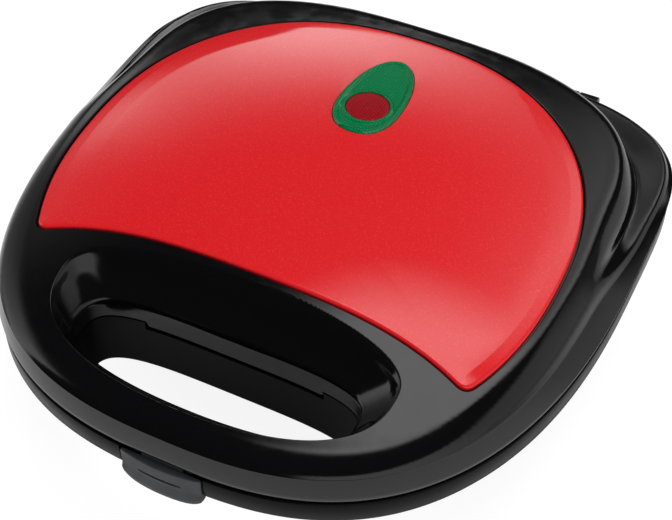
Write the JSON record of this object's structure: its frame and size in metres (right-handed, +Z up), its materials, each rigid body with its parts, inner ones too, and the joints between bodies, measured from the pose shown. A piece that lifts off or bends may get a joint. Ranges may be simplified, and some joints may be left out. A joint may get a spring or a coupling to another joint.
{
  "type": "sandwich maker",
  "caption": "Closed electric sandwich maker with a domed lid, a painted top panel with indicator lenses, a handle slot through both halves and a front latch.",
  "frame": {"origin": "middle of the footprint, on the plane under the feet", "axes": "+X to the right seen from the front, +Y to the hinge at the rear, +Z up"},
  "size_m": [0.2318, 0.2408, 0.084],
  "materials": {
    "housing": "high gloss black",
    "inner_frame": "satin black",
    "panel": "gloss red with fine flake",
    "green_lens": "clear green, fine grid",
    "red_lens": "clear red, fine grid",
    "latch": "satin dark grey",
    "plate": "black non-stick coating",
    "element": "dull steel sheath",
    "sheet": "bright sheet",
    "rubber": "matt",
    "lamp": "clear",
    "heatproof": "matt cream",
    "wire": "grey sleeve",
    "steel": "zinc plated"
  },
  "bodies": {
    "base": {"base_shell": "housing", "lower_inner_frame": "inner_frame", "lower_plate": "plate", "lower_heating_element": "element", "lower_reflector": "sheet", "lower_thermostat": "steel", "thermal_fuse": "heatproof", "terminal_block": "heatproof", "cord_inlet_grommet": "rubber", "lower_wiring": "wire", "foot_front_left": "rubber", "base_screw_front_left": "steel", "lower_plate_screw_front_left": "steel", "foot_rear_left": "rubber", "base_screw_rear_left": "steel", "lower_plate_screw_rear_left": "steel", "foot_front_right": "rubber", "base_screw_front_right": "steel", "lower_plate_screw_front_right": "steel", "foot_rear_right": "rubber", "base_screw_rear_right": "steel", "lower_plate_screw_rear_right": "steel", "hinge_pin_left": "steel", "hinge_pin_right": "steel"},
    "lid": {"lid_shell": "housing", "top_panel": "panel", "ready_lens_green": "green_lens", "power_lens_red": "red_lens", "lamp_holder": "heatproof", "power_neon_lamp": "lamp", "ready_neon_lamp": "lamp", "upper_inner_frame": "inner_frame", "upper_plate": "plate", "upper_heating_element": "element", "upper_reflector": "sheet", "upper_thermostat": "steel", "upper_wiring": "wire", "latch_pin": "steel", "lid_screw_front_left": "steel", "upper_plate_screw_front_left": "steel", "lid_screw_rear_left": "steel", "upper_plate_screw_rear_left": "steel", "lid_screw_front_right": "steel", "upper_plate_screw_front_right": "steel", "lid_screw_rear_right": "steel", "upper_plate_screw_rear_right": "steel", "lamp_holder_screw_left": "steel", "lamp_holder_screw_right": "steel"},
    "latch": {"latch": "latch"}
  },
  "joints": [
    {"name": "lid_hinge", "type": "hinge", "parent": "base", "child": "lid", "pos_m": [0, 0.11585, 0.0505], "axis": [-1, 0, 0], "range_deg": [0, 105]},
    {"name": "latch_pivot", "type": "hinge", "parent": "lid", "child": "latch", "pos_m": [0, -0.11415, 0.051], "axis": [-1, 0, 0], "range_deg": [0, 30]}
  ]
}
